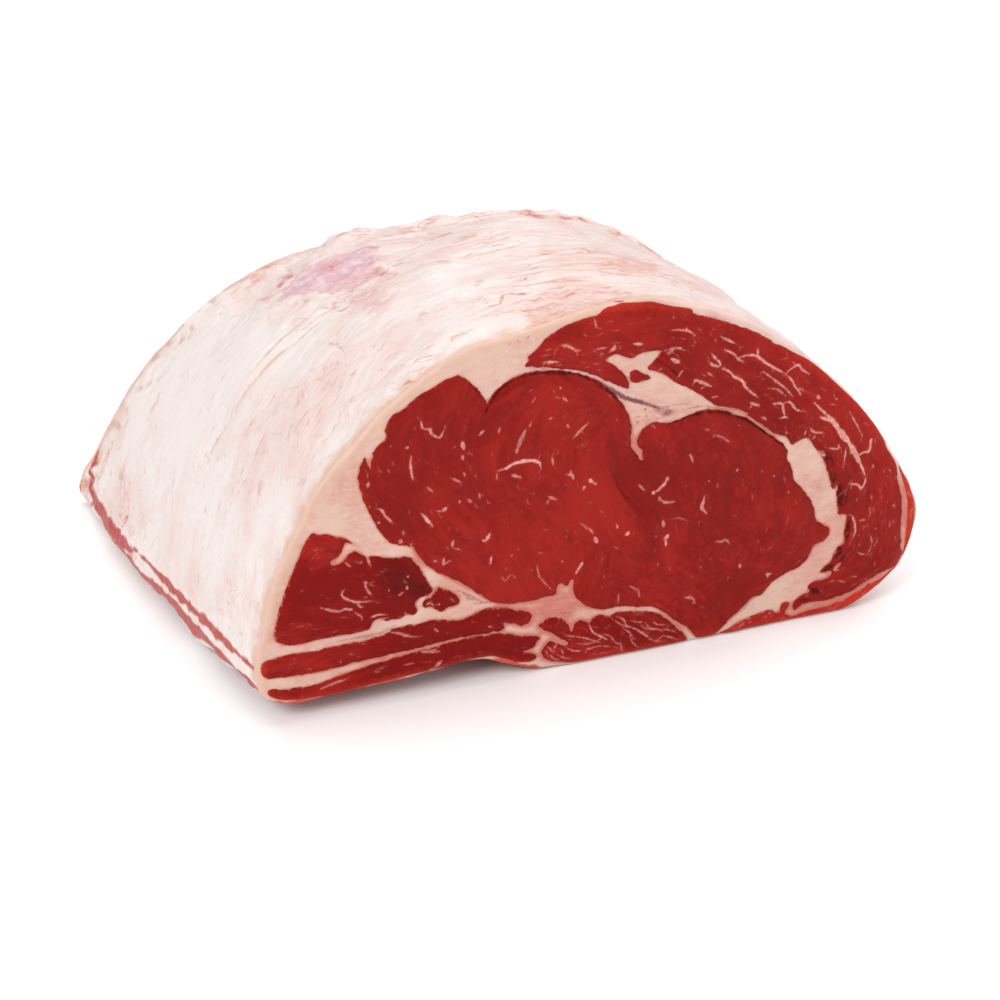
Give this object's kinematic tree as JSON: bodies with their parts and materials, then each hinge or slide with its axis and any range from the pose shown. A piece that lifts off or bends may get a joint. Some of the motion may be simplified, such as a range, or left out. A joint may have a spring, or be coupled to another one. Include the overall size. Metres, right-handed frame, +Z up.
{
  "type": "raw beef rib roast",
  "caption": "Raw boneless beef rib roast, lying on its rib side: a domed fat cap over a flat cut face that shows the round eye, the cap muscle round it and a layered thin lip.",
  "frame": {"origin": "middle of the roast's plan, on the surface it rests on", "axes": "+X across the cut face from the thin lip to the back of the loin, +Y along the muscle away from the near cut face, +Z up from the rib side to the fat cap"},
  "size_m": [0.279, 0.2055, 0.1393],
  "materials": {
    "beef_fat_skin": "satin",
    "beef_cut_face": "gloss"
  },
  "bodies": {
    "root": {"rib_roast": "beef_cut_face"}
  },
  "joints": []
}
